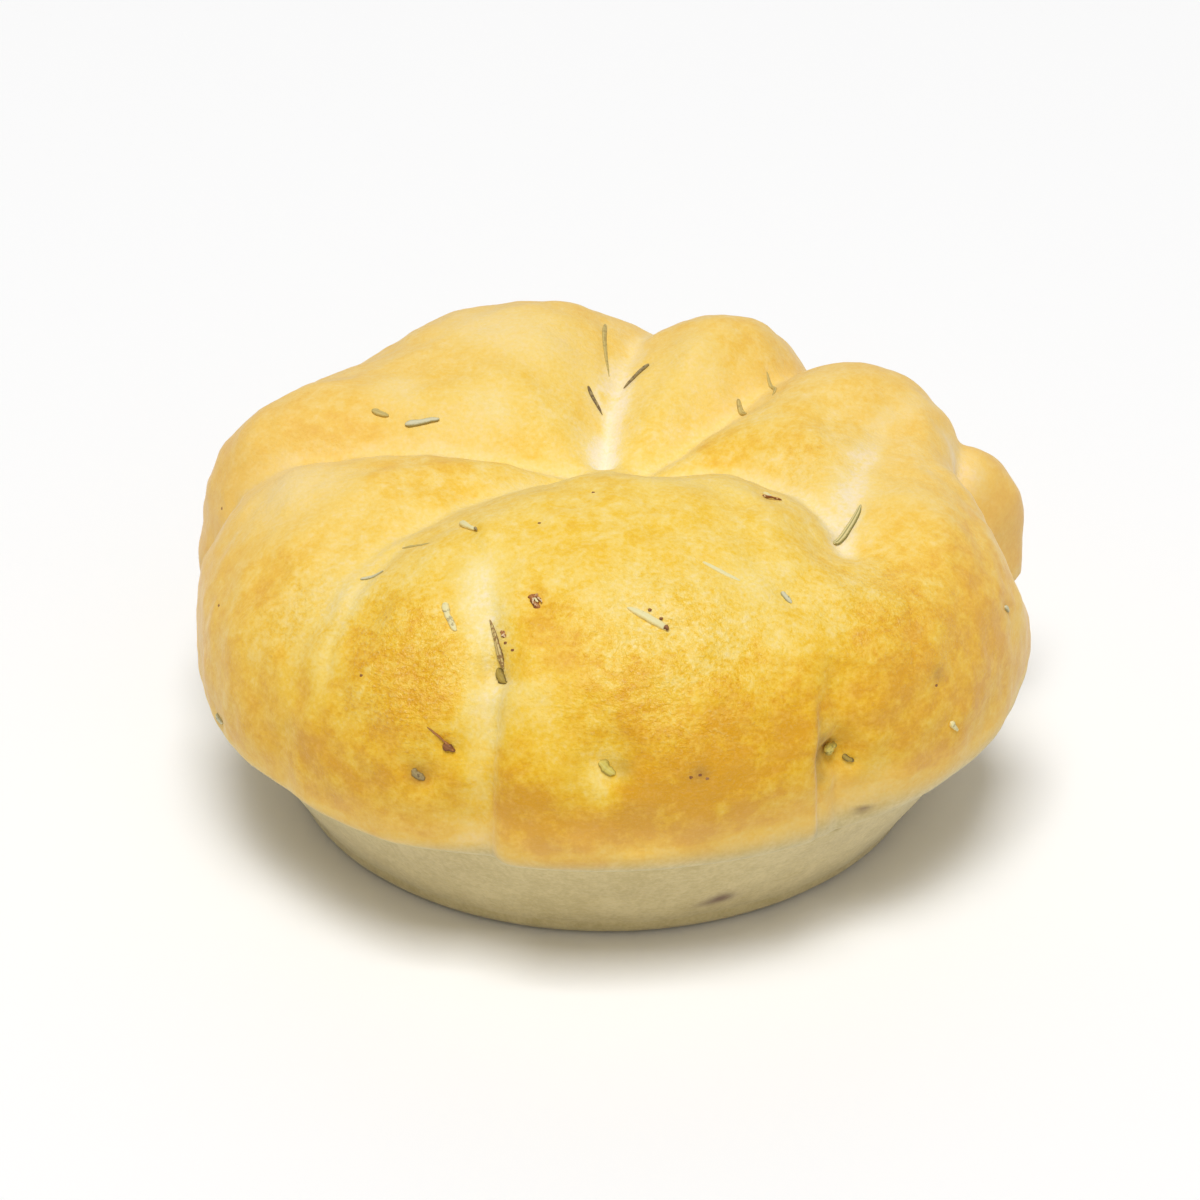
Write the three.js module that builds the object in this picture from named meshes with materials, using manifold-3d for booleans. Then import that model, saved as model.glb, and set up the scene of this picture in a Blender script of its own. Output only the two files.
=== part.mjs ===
// A round focaccia bun: a lobed crown of dough that rose over the rim of a small tapered tin,
// creased like a cushion, with rosemary needles baked into its crust.
// Millimetres, +Z up. The bun stands on z = 0 with the crown's axis on the Z axis.
// A bearing is a plan angle in degrees, counter-clockwise from +X; the front is at 270.

import * as THREE from 'three';
import Module from 'manifold-3d';

// Base and wall, as the tin shaped them
const BASE_RADIUS = 44.4;
const BASE_EDGE = 2.5;
const BASE_SHIFT = -1.2;
const WALL_TOP_RADIUS = 53;
const WALL_TOP = 17.5;
const WALL_BELLY = 0.4;

// Crown: a superellipse section, as wide as the lip and bulging over the wall
const LIP_RADIUS = 56.3;
const LIP_HEIGHT = 22;
const LIP_DROOP = 0.3;
const CROWN_HEIGHT = 49.5;
const CROWN_POWER = 0.66;
const CENTRE_DIP = 3;
const CENTRE_DIP_RADIUS = 14;

// Slow waves that put the lip out of round and out of level: crests per turn, bearing of one, height
const LIP_WAVES = [
  { crests: 1, bearing: 222, height: 1 },
  { crests: 2, bearing: 20, height: 0.3 },
  { crests: 3, bearing: 217, height: 0.9 },
];
const LIP_HEIGHT_WAVES = [{ crests: 2, bearing: 320, height: 1.6 }];

// Creases between the lobes. Each runs in plan from a point past a bend to another point, all as
// [radius, bearing]. Depth and reach, the half width, are given at both ends. A pinch of 1 is a
// tight fold between two pillows of dough, and 0 a soft hollow. A lean widens a crease by that
// share on its left, seen along it, and makes it as much steeper on its right.
const CREASES = {
  back: { path: [[8, 100], [30, 92], [62, 77]], depth: [6, 2.4], reach: [13, 11], pinch: 0.8 },
  backRight: { path: [[6, 45], [24, 42], [62, 51]], depth: [5, 6], reach: [12, 10], pinch: 0.8 },
  rightInner: { path: [[6, -20], [21, 15], [36, -32]], depth: [5, 4.5], reach: [12, 12], pinch: 0.8 },
  rightOuter: { path: [[37, -33], [31, 6], [46, 24]], depth: [4.5, 0.3], reach: [13, 9], pinch: 0.5 },
  rightSide: { path: [[62, 34], [40, 15], [62, -1]], depth: [3, 9], reach: [8, 10], pinch: 0.9 },
  leftBack: { path: [[7, 150], [29, 168], [62, 177]], depth: [5, 3.5], reach: [14, 9], pinch: 0.9 },
  leftFront: { path: [[8, 190], [36, 208], [60, 222]], depth: [5, 0.5], reach: [13, 12], pinch: 0.7 },
  front: {
    path: [[36, 243], [46, 251], [61, 252]], depth: [0.6, 2.6], reach: [9, 9], pinch: 0.6, lean: -0.45,
  },
  frontRight: {
    path: [[49, 304], [54, 302], [62, 302]], depth: [0.3, 4.5], reach: [8, 8], pinch: 0.8, lean: 0.5,
  },
  backLeft: { path: [[30, 156], [38, 142], [60, 134]], depth: [1, 1.2], reach: [11, 12], pinch: 0 },
};
const CREASE_STEPS = 32;
const CREASE_FLOOR = 1.2;
const CREASE_SOFTNESS = 0.35;
const CREASE_BLEND = 3;

// Lobes: rounded swellings of the crown, by plan place, rise and size. A negative rise is a hollow.
const LOBES = {
  front: { at: [30, 272], rise: 3.5, size: 20 },
  frontInnerEnd: { at: [12, 262], rise: 2.5, size: 13 },
  frontLeft: { at: [36, 236], rise: 2, size: 13 },
  left: { at: [36, 203], rise: 0.4, size: 15 },
  backLeft: { at: [44, 152], rise: 4.7, size: 19 },
  backLeftNearEnd: { at: [50, 168], rise: 2.8, size: 9 },
  backLeftFarEnd: { at: [40, 109], rise: 5.8, size: 17 },
  back: { at: [38, 65], rise: 5.2, size: 13 },
  backRight: { at: [42, 32], rise: 5, size: 13 },
  right: { at: [38, 340], rise: 3, size: 18 },
  smallRight: { at: [53, 18], rise: 6.8, size: 8 },
  smallRightNotch: { at: [57, 8], rise: -4, size: 6 },
};

// Dimples pressed into the crown. A level is the share of the way up the skin, 0 at the lip and
// 1 at the middle of the top.
const DIMPLES = [
  { level: 0.18, bearing: 269, depth: 1.3, size: 4 },
  { level: 0.11, bearing: 266, depth: 0.7, size: 4 },
  { level: 0.33, bearing: 252, depth: 0.8, size: 3 },
  { level: 0.13, bearing: 244, depth: 0.9, size: 2.5 },
  { level: 0.05, bearing: 273, depth: 0.6, size: 4 },
  { level: 0.18, bearing: -5, depth: 4, size: 5 },
];

// Rosemary needles on the near side. A turn of 0 lies along the lip, counter-clockwise, and 90
// points at the middle of the top.
const NEEDLES = [
  { level: 0.53, bearing: 162, turn: 90, length: 2.2 },
  { level: 0.61, bearing: 161, turn: 117, length: 5 },
  { level: 0.57, bearing: 92, turn: 91, length: 12 },
  { level: 0.73, bearing: 98, turn: 113, length: 4 },
  { level: 0.65, bearing: 83, turn: 50, length: 5 },
  { level: 0.63, bearing: 46, turn: 148, length: 3.5 },
  { level: 0.55, bearing: 45, turn: 137, length: 7.5 },
  { level: 0.52, bearing: 334, turn: -1, length: 9.6 },
  { level: 0.6, bearing: 230, turn: -23, length: 5 },
  { level: 0.44, bearing: 220, turn: 54, length: 3 },
  { level: 0.405, bearing: 241, turn: -44, length: 4.5 },
  { level: 0.38, bearing: 250, turn: -58, length: 7 },
  { level: 0.32, bearing: 252, turn: -43, length: 3.2, width: 1.6 },
  { level: 0.455, bearing: 255, turn: -44, length: 2.8, width: 1.4 },
  { level: 0.195, bearing: 246, turn: -36, length: 4.6 },
  { level: 0.425, bearing: 275.5, turn: -35, length: 6 },
  { level: 0.165, bearing: 269, turn: -44, length: 2.8, width: 1.5 },
  { level: 0.11, bearing: 300.5, turn: -45, length: 3.2, width: 1.4 },
];
const NEEDLE_WIDTH = 1.1;
const NEEDLE_THICKNESS = 0.9;
const NEEDLE_LIFT = 0.2;
const NEEDLE_TAPER = [0.75, 1, 0.75];
const NEEDLE_SIDES = 4;

// Needles on the far side, spread over a band of the crown by steps of irrational shares
const FAR_NEEDLES = {
  count: 12,
  bearings: [38, 145],
  levels: [0.05, 0.3],
  lengths: [3, 7],
  shares: { bearing: 0.618, level: 0.755, turn: 0.382, length: 0.57 },
};

// Faceting: crown rings gain a vertex in each sector with every ring from the middle to the lip
const SECTORS = 6;
const CROWN_RINGS = 32;
const LIP_STEPS = 4;
const WALL_STEPS = 2;
const EDGE_STEPS = 2;
const NUDGE = 1e-3;

const CRUST = { color: 0xe0ab4c, roughness: 0.5, metalness: 0 };

const radians = THREE.MathUtils.degToRad;
const lerp = THREE.MathUtils.lerp;

// A plan point from its radius and bearing in degrees.
function planPoint([radius, bearing]) {
  const angle = radians(bearing);
  return new THREE.Vector2(radius * Math.cos(angle), radius * Math.sin(angle));
}

// Half of the plain crown's section, from the lip up to the middle of the top.
class CrownSection extends THREE.Curve {
  getPoint(t, target = new THREE.Vector2()) {
    const phi = (t * Math.PI) / 2;
    const across = Math.max(Math.cos(phi), 0) ** CROWN_POWER;
    const up = Math.sin(phi) ** CROWN_POWER;
    return target.set(LIP_RADIUS * across, (CROWN_HEIGHT - LIP_HEIGHT) * up);
  }
}

const section = new CrownSection();
const SECTION_LENGTH = section.getLength();
const creases = Object.values(CREASES).map((crease) => {
  const curve = new THREE.QuadraticBezierCurve(...crease.path.map(planPoint));
  return { ...crease, line: curve.getPoints(CREASE_STEPS) };
});
const lobes = Object.values(LOBES).map((lobe) => ({ ...lobe, centre: planPoint(lobe.at) }));

// The sum of slow waves at an angle in radians.
function waveHeight(waves, angle) {
  return waves.reduce((total, { crests, bearing, height }) => (
    total + height * Math.cos(crests * (angle - radians(bearing)))
  ), 0);
}

// The lip's radius at an angle in radians: a circle and its slow waves.
function lipRadius(angle) {
  return LIP_RADIUS + waveHeight(LIP_WAVES, angle);
}

// The distance from a plan point to a line of points, the share along it of the nearest spot, and
// the side: 1 on the line's left and -1 on its right.
function nearestOnLine(point, line) {
  const spot = new THREE.Vector2();
  const step = new THREE.Vector2();
  let distance = Infinity;
  let along = 0;
  let side = 0;
  for (let i = 0; i + 1 < line.length; i += 1) {
    step.subVectors(line[i + 1], line[i]);
    spot.subVectors(point, line[i]);
    const turn = Math.sign(step.cross(spot));
    const t = THREE.MathUtils.clamp(spot.dot(step) / step.lengthSq(), 0, 1);
    const gap = spot.copy(line[i]).addScaledVector(step, t).distanceTo(point);
    if (gap < distance) {
      distance = gap;
      along = (i + t) / (line.length - 1);
      side = turn;
    }
  }
  return { distance, along, side };
}

// How deep a crease is at a distance from its line: a soft hollow mixed with a pinched fold.
function creaseDepth({ depth, reach, pinch, lean = 0 }, { distance, along, side }) {
  const halfWidth = lerp(...reach, along) * (1 + lean * side);
  const u = Math.min(distance / halfWidth, 1);
  const soft = (1 - u * u) ** 2;
  const rounded = Math.hypot(distance, CREASE_FLOOR) - CREASE_FLOOR;
  const v = Math.min(rounded / halfWidth, 1);
  const pillow = Math.hypot(Math.sqrt(v * (2 - v)), CREASE_SOFTNESS) - CREASE_SOFTNESS;
  const fold = 1 - pillow / (Math.hypot(1, CREASE_SOFTNESS) - CREASE_SOFTNESS);
  return lerp(...depth, along) * lerp(soft, fold, pinch);
}

// How far the skin stands out from the plain crown at a plan point: lobes less creases.
function planOffset(point) {
  let pressed = 0;
  for (const crease of creases) {
    pressed += creaseDepth(crease, nearestOnLine(point, crease.line)) ** CREASE_BLEND;
  }
  let offset = -(pressed ** (1 / CREASE_BLEND));
  for (const { centre, rise, size } of lobes) {
    offset += rise * Math.exp(-point.distanceToSquared(centre) / size ** 2);
  }
  return offset - CENTRE_DIP * Math.exp(-point.lengthSq() / CENTRE_DIP_RADIUS ** 2);
}

// The lip's height at an angle in radians: its slow waves, lower under a lobe, higher at a crease.
function lipHeight(angle) {
  const radius = lipRadius(angle);
  const plan = new THREE.Vector2(radius * Math.cos(angle), radius * Math.sin(angle));
  return LIP_HEIGHT + waveHeight(LIP_HEIGHT_WAVES, angle) - LIP_DROOP * planOffset(plan);
}

// How deep the small dimples are at a level and angle, by distance over the skin.
function dimpleDepth(level, angle, radius) {
  let total = 0;
  for (const { level: row, bearing, depth, size } of DIMPLES) {
    const turn = THREE.MathUtils.euclideanModulo(angle - radians(bearing) + Math.PI, 2 * Math.PI);
    const across = (turn - Math.PI) * radius;
    const up = (level - row) * SECTION_LENGTH;
    total += depth * Math.exp(-(across ** 2 + up ** 2) / size ** 2);
  }
  return total;
}

// A point of the crown's skin: the plain section moved along its normal by lobes and creases.
function crownPoint(level, angle) {
  const phi = (section.getUtoTmapping(level) * Math.PI) / 2;
  const cosine = Math.max(Math.cos(phi), 0);
  const sine = Math.sin(phi);
  const lip = lipRadius(angle);
  const foot = lipHeight(angle);
  const radius = lip * cosine ** CROWN_POWER;
  const height = lerp(foot, CROWN_HEIGHT, sine ** CROWN_POWER);
  const normal = new THREE.Vector2(
    (CROWN_HEIGHT - foot) * cosine ** (2 - CROWN_POWER),
    lip * sine ** (2 - CROWN_POWER),
  ).normalize();
  const plan = new THREE.Vector2(radius * Math.cos(angle), radius * Math.sin(angle));
  const offset = planOffset(plan) - dimpleDepth(level, angle, radius);
  const out = radius + normal.x * offset;
  return new THREE.Vector3(out * Math.cos(angle), out * Math.sin(angle), height + normal.y * offset);
}

// A point of the lip's rounded underside, from the top of the wall (0) out to the lip (1).
function underLipPoint(share, angle) {
  const quarter = (share * Math.PI) / 2;
  const plain = lerp(WALL_TOP_RADIUS, lipRadius(angle), Math.sin(quarter));
  const plan = new THREE.Vector2(plain * Math.cos(angle), plain * Math.sin(angle));
  const out = plain + planOffset(plan) * Math.sqrt(share);
  const height = lerp(lipHeight(angle), WALL_TOP, Math.cos(quarter));
  return new THREE.Vector3(out * Math.cos(angle), out * Math.sin(angle), height);
}

// A point of the base or wall: a circle whose centre moves onto the crown's axis with height.
function tinPoint(radius, height, angle) {
  const shift = BASE_SHIFT * (1 - height / WALL_TOP);
  return new THREE.Vector3(radius * Math.cos(angle) + shift, radius * Math.sin(angle), height);
}

// The wall's radius at a share of its height above the base's rounded edge.
function wallRadius(share) {
  return lerp(BASE_RADIUS, WALL_TOP_RADIUS, share) + WALL_BELLY * Math.sin(Math.PI * share);
}

// All rings of the bun from the middle of the base up to the middle of the top.
function bunRings() {
  const rim = SECTORS * CROWN_RINGS;
  const ring = (count, place) => (
    Array.from({ length: count }, (_, i) => place((2 * Math.PI * i) / count))
  );
  const rings = [[tinPoint(0, 0, 0)]];
  for (let i = 0; i <= EDGE_STEPS; i += 1) {
    const quarter = ((i / EDGE_STEPS) * Math.PI) / 2;
    const radius = BASE_RADIUS - BASE_EDGE * (1 - Math.sin(quarter));
    const height = BASE_EDGE * (1 - Math.cos(quarter));
    rings.push(ring(rim, (angle) => tinPoint(radius, height, angle)));
  }
  for (let i = 1; i <= WALL_STEPS; i += 1) {
    const share = i / WALL_STEPS;
    const height = lerp(BASE_EDGE, WALL_TOP, share);
    rings.push(ring(rim, (angle) => tinPoint(wallRadius(share), height, angle)));
  }
  for (let i = 1; i < LIP_STEPS; i += 1) {
    rings.push(ring(rim, (angle) => underLipPoint(i / LIP_STEPS, angle)));
  }
  for (let k = CROWN_RINGS; k > 0; k -= 1) {
    const level = 1 - k / CROWN_RINGS;
    rings.push(ring(SECTORS * k, (angle) => crownPoint(level, angle)));
  }
  rings.push([crownPoint(1, 0)]);
  return rings;
}

// Triangles between a lower ring and the ring above it, which is as long, one vertex a sector
// shorter, or a single point. A single point below gives the flat base.
function stitch(lower, upper, triangles) {
  const at = (ring, i) => ring.start + (i % ring.count);
  if (lower.count === 1) {
    for (let i = 0; i < upper.count; i += 1) {
      triangles.push(lower.start, at(upper, i + 1), at(upper, i));
    }
    return;
  }
  if (lower.count === upper.count) {
    for (let i = 0; i < lower.count; i += 1) {
      triangles.push(at(lower, i), at(lower, i + 1), at(upper, i));
      triangles.push(at(upper, i), at(lower, i + 1), at(upper, i + 1));
    }
    return;
  }
  const outer = lower.count / SECTORS;
  const inner = outer - 1;
  for (let sector = 0; sector < SECTORS; sector += 1) {
    for (let i = 0; i < outer; i += 1) {
      const low = sector * outer + i;
      const high = sector * inner + i;
      triangles.push(at(lower, low), at(lower, low + 1), at(upper, high));
      if (i < inner) {
        triangles.push(at(upper, high), at(lower, low + 1), at(upper, high + 1));
      }
    }
  }
}

// A closed body from rings of points, the first and last of which are single points.
function ringBody(rings) {
  const points = rings.flat();
  const triangles = [];
  let start = 0;
  const spans = rings.map((ring) => {
    const span = { start, count: ring.length };
    start += ring.length;
    return span;
  });
  for (let i = 0; i + 1 < spans.length; i += 1) {
    stitch(spans[i], spans[i + 1], triangles);
  }
  return { points, triangles };
}

// A needle: a slim diamond-sided spindle that follows the skin and stands a little proud of it.
function needleBody({ level, bearing, turn, length, width = NEEDLE_WIDTH }) {
  const heading = radians(turn);
  const middle = crownPoint(level, radians(bearing));
  const radius = Math.hypot(middle.x, middle.y);
  const place = (share) => {
    const along = (share - 0.5) * length;
    const row = level + (along * Math.sin(heading)) / SECTION_LENGTH;
    const angle = radians(bearing) + (along * Math.cos(heading)) / radius;
    const here = crownPoint(row, angle);
    const east = crownPoint(row, angle + NUDGE).sub(here);
    const north = crownPoint(row + NUDGE, angle).sub(here);
    const normal = new THREE.Vector3().crossVectors(east, north).normalize();
    east.normalize();
    north.normalize();
    const ahead = east.multiplyScalar(Math.cos(heading)).addScaledVector(north, Math.sin(heading));
    const side = new THREE.Vector3().crossVectors(normal, ahead).normalize();
    return { centre: here.addScaledVector(normal, NEEDLE_LIFT), normal, side };
  };
  const ends = NEEDLE_TAPER.length + 1;
  const rings = NEEDLE_TAPER.map((taper, i) => {
    const { centre, normal, side } = place((i + 1) / ends);
    return Array.from({ length: NEEDLE_SIDES }, (_, corner) => {
      const angle = (2 * Math.PI * corner) / NEEDLE_SIDES;
      return centre.clone()
        .addScaledVector(side, (Math.cos(angle) * taper * width) / 2)
        .addScaledVector(normal, (Math.sin(angle) * taper * NEEDLE_THICKNESS) / 2);
    });
  });
  return spindle([place(0).centre], rings, [place(1).centre]);
}

// A closed spindle: a start point, rings of equal length and an end point.
function spindle(start, rings, end) {
  const points = [...start, ...rings.flat(), ...end];
  const triangles = [];
  const corner = (ring, i) => 1 + ring * NEEDLE_SIDES + (i % NEEDLE_SIDES);
  const last = rings.length - 1;
  for (let i = 0; i < NEEDLE_SIDES; i += 1) {
    triangles.push(0, corner(0, i + 1), corner(0, i));
    triangles.push(points.length - 1, corner(last, i), corner(last, i + 1));
    for (let ring = 0; ring < last; ring += 1) {
      triangles.push(corner(ring, i), corner(ring, i + 1), corner(ring + 1, i));
      triangles.push(corner(ring + 1, i), corner(ring, i + 1), corner(ring + 1, i + 1));
    }
  }
  return { points, triangles };
}

// The far needles: each takes the next step of a low-repeat sequence for its place and lie.
function farNeedles() {
  const { count, bearings, levels, lengths, shares } = FAR_NEEDLES;
  const step = (share, i) => (share * (i + 1)) % 1;
  return Array.from({ length: count }, (_, i) => ({
    level: lerp(...levels, step(shares.level, i)),
    bearing: lerp(...bearings, step(shares.bearing, i)),
    turn: 360 * step(shares.turn, i),
    length: lerp(...lengths, step(shares.length, i)),
  }));
}

const wasm = await Module();
wasm.setup();

// A solid from points and triangles.
function solid({ points, triangles }) {
  return new wasm.Manifold(new wasm.Mesh({
    numProp: 3,
    vertProperties: new Float32Array(points.flatMap((point) => point.toArray())),
    triVerts: new Uint32Array(triangles),
  }));
}

// The geometry of a solid.
function geometryOf(body) {
  const mesh = body.getMesh();
  const geometry = new THREE.BufferGeometry();
  geometry.setAttribute('position', new THREE.BufferAttribute(mesh.vertProperties, 3));
  geometry.setIndex(new THREE.BufferAttribute(mesh.triVerts, 1));
  geometry.computeVertexNormals();
  return geometry;
}

// The bun with every needle fused into its crust.
function bunMesh() {
  let body = solid(ringBody(bunRings()));
  for (const needle of [...NEEDLES, ...farNeedles()]) {
    body = body.add(solid(needleBody(needle)));
  }
  const mesh = new THREE.Mesh(geometryOf(body), new THREE.MeshStandardMaterial(CRUST));
  mesh.name = 'focaccia_bun';
  return mesh;
}

const bun = new THREE.Group();
bun.add(bunMesh());

export default bun;
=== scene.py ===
"""A round focaccia bun: a lobed golden crown over a smooth pale wall, with rosemary in its crust.

Sizes are in millimetres. Bearings are plan angles in degrees, counter-clockwise from +X, with the
front at 270. A level is the share of the way up the crown's skin, 0 at the lip and 1 at the middle
of the top. Meshes are written in metres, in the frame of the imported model.
"""

import logging
from dataclasses import dataclass
from enum import Enum
from functools import cached_property
from typing import Any, Mapping, Sequence, Union

import bpy
import numpy as np
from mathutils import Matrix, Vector


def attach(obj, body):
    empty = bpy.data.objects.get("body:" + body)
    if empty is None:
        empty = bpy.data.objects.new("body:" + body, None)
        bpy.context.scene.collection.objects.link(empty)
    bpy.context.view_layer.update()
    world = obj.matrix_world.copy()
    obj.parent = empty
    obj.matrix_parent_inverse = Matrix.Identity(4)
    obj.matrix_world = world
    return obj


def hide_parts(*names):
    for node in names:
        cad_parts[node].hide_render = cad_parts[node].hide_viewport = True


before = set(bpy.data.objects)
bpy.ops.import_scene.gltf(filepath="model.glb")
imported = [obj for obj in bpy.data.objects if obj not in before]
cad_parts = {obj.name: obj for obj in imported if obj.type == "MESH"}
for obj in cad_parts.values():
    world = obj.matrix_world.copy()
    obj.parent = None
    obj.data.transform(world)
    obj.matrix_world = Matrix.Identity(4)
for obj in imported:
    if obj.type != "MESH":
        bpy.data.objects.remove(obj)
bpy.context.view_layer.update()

LOG = logging.getLogger("focaccia_bun")
METRES = 0.001
BODY = "root"
NODE = "focaccia_bun"

# The Mix node's sockets for a share and two colours, and the one of the mixed colour
MIX_INPUTS = (0, 6, 7)
MIX_OUTPUT = 2

Array = np.ndarray
Polar = tuple[float, float]
Span = tuple[float, float]
Colour = tuple[float, float, float]
Place = tuple[float, float, float]
Key = Union[str, int]


# Small helpers for places and numbers

def lerp(start: Any, end: Any, share: Any) -> Any:
    """Mix two values by a share from 0 to 1."""
    return start + (end - start) * share


def smooth_step(low: float, high: float, value: Array) -> Array:
    """Rise from 0 at the low value to 1 at the high one along an S curve."""
    share = np.clip((value - low) / (high - low), 0, 1)
    return share * share * (3 - 2 * share)


def plan_point(at: Polar) -> Array:
    """Turn a radius and a bearing into a plan point."""
    angle = np.radians(at[1])
    return at[0] * np.array([np.cos(angle), np.sin(angle)])


def unit(vectors: Array) -> Array:
    """Scale vectors to a length of 1."""
    return vectors / np.linalg.norm(vectors, axis=-1, keepdims=True)


def make_piece(name: str, points: Array, faces: Array, marks: Mapping[str, Array]) -> bpy.types.Object:
    """Write arrays into a smooth-shaded mesh object that rides on the bun's body.

    Args:
        name: The piece's name.
        points: Vertices in millimetres, one row each.
        faces: Triangles as rows of three vertex numbers.
        marks: Named values, one for each vertex, which the materials read.

    Returns:
        The linked object.
    """
    mesh = bpy.data.meshes.new(name)
    mesh.vertices.add(len(points))
    mesh.vertices.foreach_set("co", (points * METRES).astype(np.float32).ravel())
    mesh.loops.add(faces.size)
    mesh.loops.foreach_set("vertex_index", faces.astype(np.int32).ravel())
    mesh.polygons.add(len(faces))
    mesh.polygons.foreach_set("loop_start", np.arange(0, faces.size, 3, dtype=np.int32))
    mesh.update(calc_edges=True)
    mesh.shade_smooth()
    for mark, values in marks.items():
        layer = mesh.attributes.new(mark, "FLOAT", "POINT")
        layer.data.foreach_set("value", values.astype(np.float32))
    piece = bpy.data.objects.new(name, mesh)
    bpy.context.scene.collection.objects.link(piece)
    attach(piece, BODY)
    LOG.info("%s: %d triangles", name, len(faces))
    return piece


# The bun's form

@dataclass(frozen=True)
class Crease:
    """A crease between two lobes: it runs in plan from a point past a bend to another point.

    Depth, reach (the half width) and paleness of the floor are given at both ends. A pinch of 1 is
    a tight fold between two pillows of dough, and 0 a soft hollow. A lean widens the crease by that
    share on its left, seen along it, and makes it as much steeper on its right.
    """

    path: tuple[Polar, Polar, Polar]
    depth: Span
    reach: Span
    pinch: float
    pale: Span = (0.0, 0.0)
    lean: float = 0.0
    steps: int = 32
    floor: float = 1.2
    softness: float = 0.35
    pale_edge: Span = (0.3, 1.3)

    @cached_property
    def line(self) -> Array:
        """Points of the quadratic curve through the path's ends, pulled to its bend."""
        start, bend, end = (plan_point(at) for at in self.path)
        t = np.linspace(0, 1, self.steps + 1)[:, None]
        return start * (1 - t) ** 2 + 2 * bend * t * (1 - t) + end * t ** 2

    def nearest(self, x: Array, y: Array) -> tuple[Array, Array, Array]:
        """Find the nearest spot of the crease's line.

        Args:
            x: Plan places across.
            y: Plan places up the plan.

        Returns:
            The distance to the line, the share along it of the nearest spot, and 1 on the line's
            left or -1 on its right.
        """
        gap = np.full(x.shape, np.inf)
        along = np.zeros(x.shape)
        side = np.zeros(x.shape)
        for i, (here, ahead) in enumerate(zip(self.line[:-1], self.line[1:])):
            step = ahead - here
            right, up = x - here[0], y - here[1]
            t = np.clip((right * step[0] + up * step[1]) / (step @ step), 0, 1)
            distance = np.hypot(right - t * step[0], up - t * step[1])
            nearer = distance < gap
            along = np.where(nearer, (i + t) / self.steps, along)
            side = np.where(nearer, np.sign(step[0] * up - step[1] * right), side)
            gap = np.minimum(distance, gap)
        return gap, along, side

    def depth_at(self, x: Array, y: Array) -> Array:
        """Work out how deep the crease is: a soft hollow mixed with a pinched fold.

        The hollow is (1 - u^2)^2 of the distance u in half widths. The fold is what two quarter
        circles leave between them, with their meeting rounded off.

        Args:
            x: Plan places across.
            y: Plan places up the plan.

        Returns:
            The depth at each place.
        """
        gap, along, side = self.nearest(x, y)
        half_width = lerp(*self.reach, along) * (1 + self.lean * side)
        u = np.minimum(gap / half_width, 1)
        v = np.minimum((np.hypot(gap, self.floor) - self.floor) / half_width, 1)
        pillow = np.hypot(np.sqrt(v * (2 - v)), self.softness) - self.softness
        fold = 1 - pillow / (np.hypot(1, self.softness) - self.softness)
        return lerp(*self.depth, along) * lerp((1 - u * u) ** 2, fold, self.pinch)

    def paleness(self, x: Array, y: Array, width: float) -> Array:
        """Work out how pale the crease's floor is, fading out over a width on both sides."""
        gap, along, side = self.nearest(x, y)
        half_width = width * (1 + self.lean * side)
        return lerp(*self.pale, along) * (1 - smooth_step(*self.pale_edge, gap / half_width))


@dataclass(frozen=True)
class Lobe:
    """A rounded swelling of the crown: its plan place, rise and size. A negative rise is a hollow."""

    at: Polar
    rise: float
    size: float

    def rise_at(self, x: Array, y: Array) -> Array:
        """Give the swelling's height, a bell curve of the plan distance."""
        centre = plan_point(self.at)
        return self.rise * np.exp(-((x - centre[0]) ** 2 + (y - centre[1]) ** 2) / self.size ** 2)


@dataclass(frozen=True)
class Spot:
    """A round spot on the crown's skin, such as a dimple or a patch of colour."""

    level: float
    bearing: float
    size: float
    strength: float


@dataclass(frozen=True)
class Smudge:
    """A smudge on the wall by bearing and height: how long, how tall and how strong it is."""

    bearing: float
    height: float
    length: float
    tallness: float
    strength: float

    def cover(self, points: Array) -> Array:
        """Give the smudge's cover: a bell curve of the distances along and up the wall."""
        turn = np.arctan2(points[..., 1], points[..., 0]) - np.radians(self.bearing)
        along = np.hypot(points[..., 0], points[..., 1]) * ((turn + np.pi) % (2 * np.pi) - np.pi)
        up = points[..., 2] - self.height
        return self.strength * np.exp(-(along / self.length) ** 2 - (up / self.tallness) ** 2)


@dataclass(frozen=True)
class Wave:
    """A slow wave round the lip: how many crests, the bearing of one and the height."""

    crests: int
    bearing: float
    height: float

    def __call__(self, angle: Array) -> Array:
        """Give the wave's height, a cosine of the angle."""
        return self.height * np.cos(self.crests * (angle - np.radians(self.bearing)))


@dataclass(frozen=True)
class Noise:
    """Seeded gradient noise in layers of a grain size and a height each."""

    seed: int
    layers: tuple[Span, ...]
    period: int = 24

    def __call__(self, points: Array) -> Array:
        """Add up the layers: at each lattice corner a random slope pulls, faded by a quintic.

        Args:
            points: Places in space, one row each.

        Returns:
            The sum of the layers at each place.
        """
        draws = np.random.default_rng(self.seed)
        total = np.zeros(points.shape[:-1])
        for size, height in self.layers:
            slopes = unit(draws.normal(size=(self.period, self.period, self.period, 3)))
            low = np.floor(points / size).astype(int)
            part = points / size - low
            fade = part ** 3 * (part * (part * 6 - 15) + 10)
            for corner in np.ndindex(2, 2, 2):
                cell = np.moveaxis((low + corner) % self.period, -1, 0)
                weight = np.prod(np.where(corner, fade, 1 - fade), axis=-1)
                total += height * weight * np.sum(slopes[tuple(cell)] * (part - corner), axis=-1)
        return total


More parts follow.
